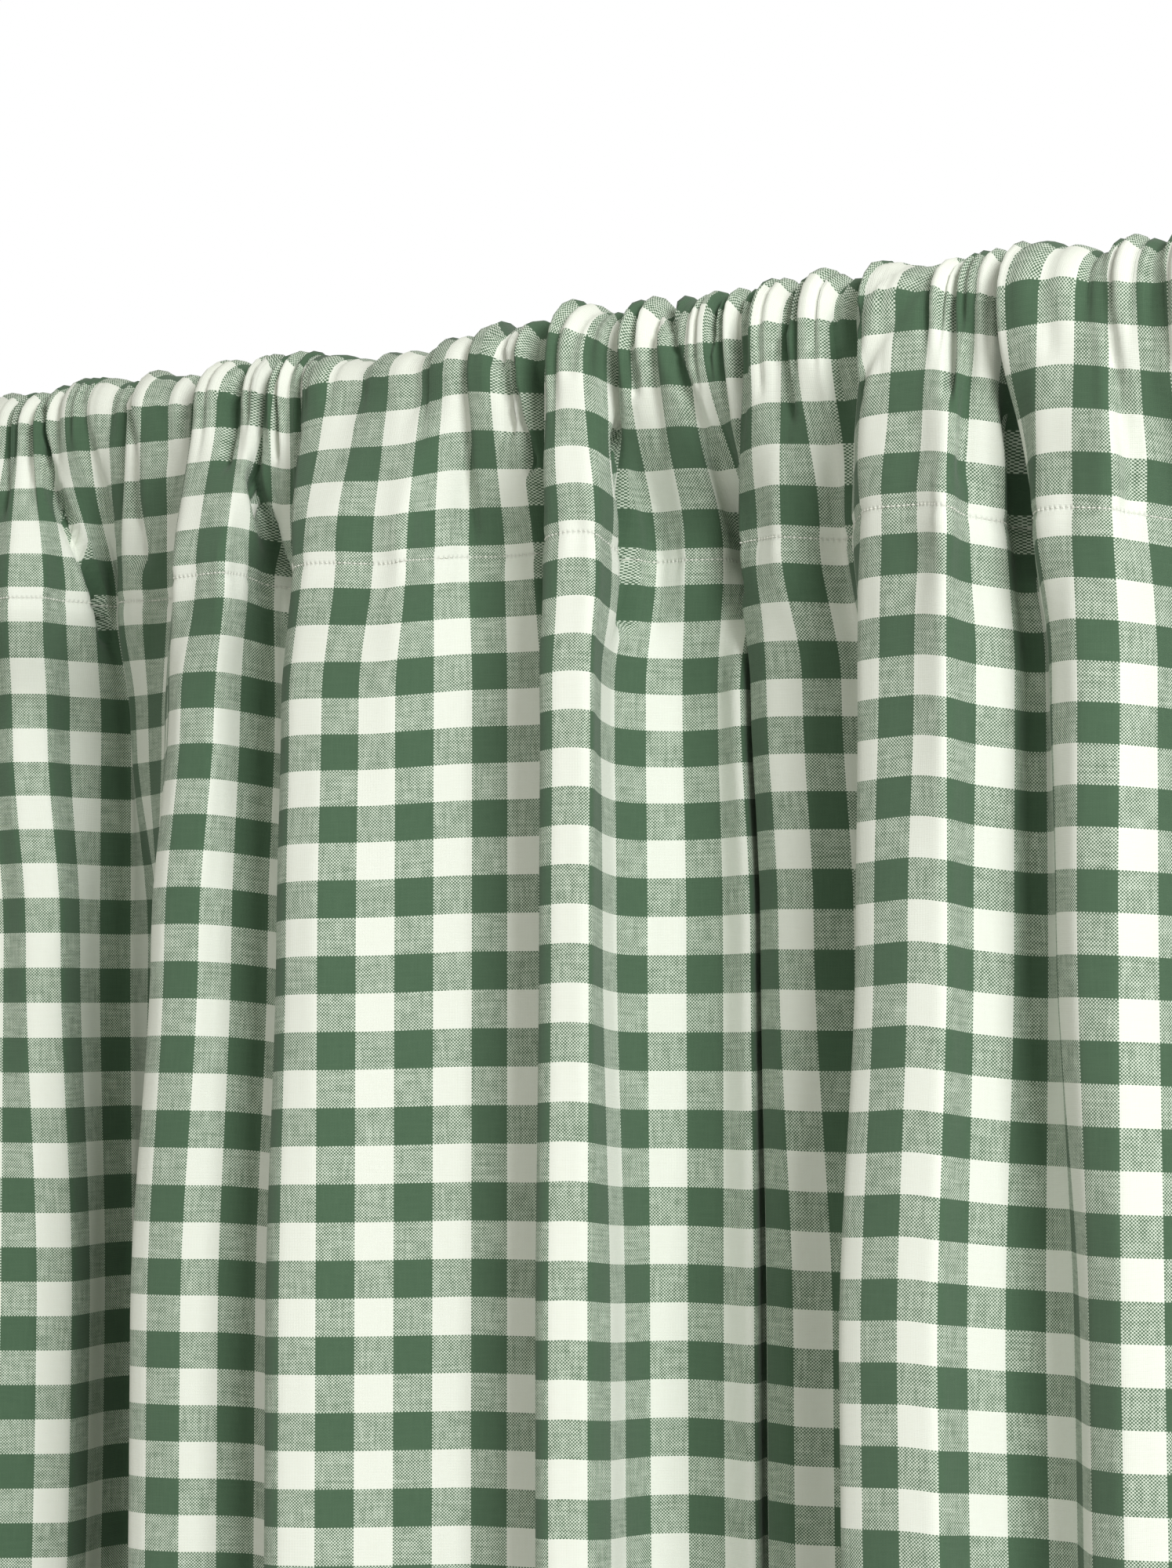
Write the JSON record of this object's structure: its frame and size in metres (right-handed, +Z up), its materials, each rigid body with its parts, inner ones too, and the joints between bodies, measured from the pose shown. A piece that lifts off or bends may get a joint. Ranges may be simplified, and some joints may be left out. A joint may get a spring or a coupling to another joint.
{
  "type": "gathered gingham curtain panel",
  "caption": "Short curtain panel of checked cotton, gathered on a rod pocket sewn along its top edge and hanging in uneven soft folds to a plain hem.",
  "frame": {"origin": "middle of the top edge, 9 mm above the centre of the rod, in the upright plane of the rod", "axes": "+X along the rod, to the right for someone who looks at the front; +Y from the front to the back; +Z up"},
  "size_m": [0.5288, 0.0738, 0.6077],
  "materials": {
    "gingham_cloth": "matt plain-woven cotton, green and off-white checks, with sewing thread of the same white"
  },
  "bodies": {
    "root": {"curtain_panel": "gingham_cloth"}
  },
  "joints": []
}
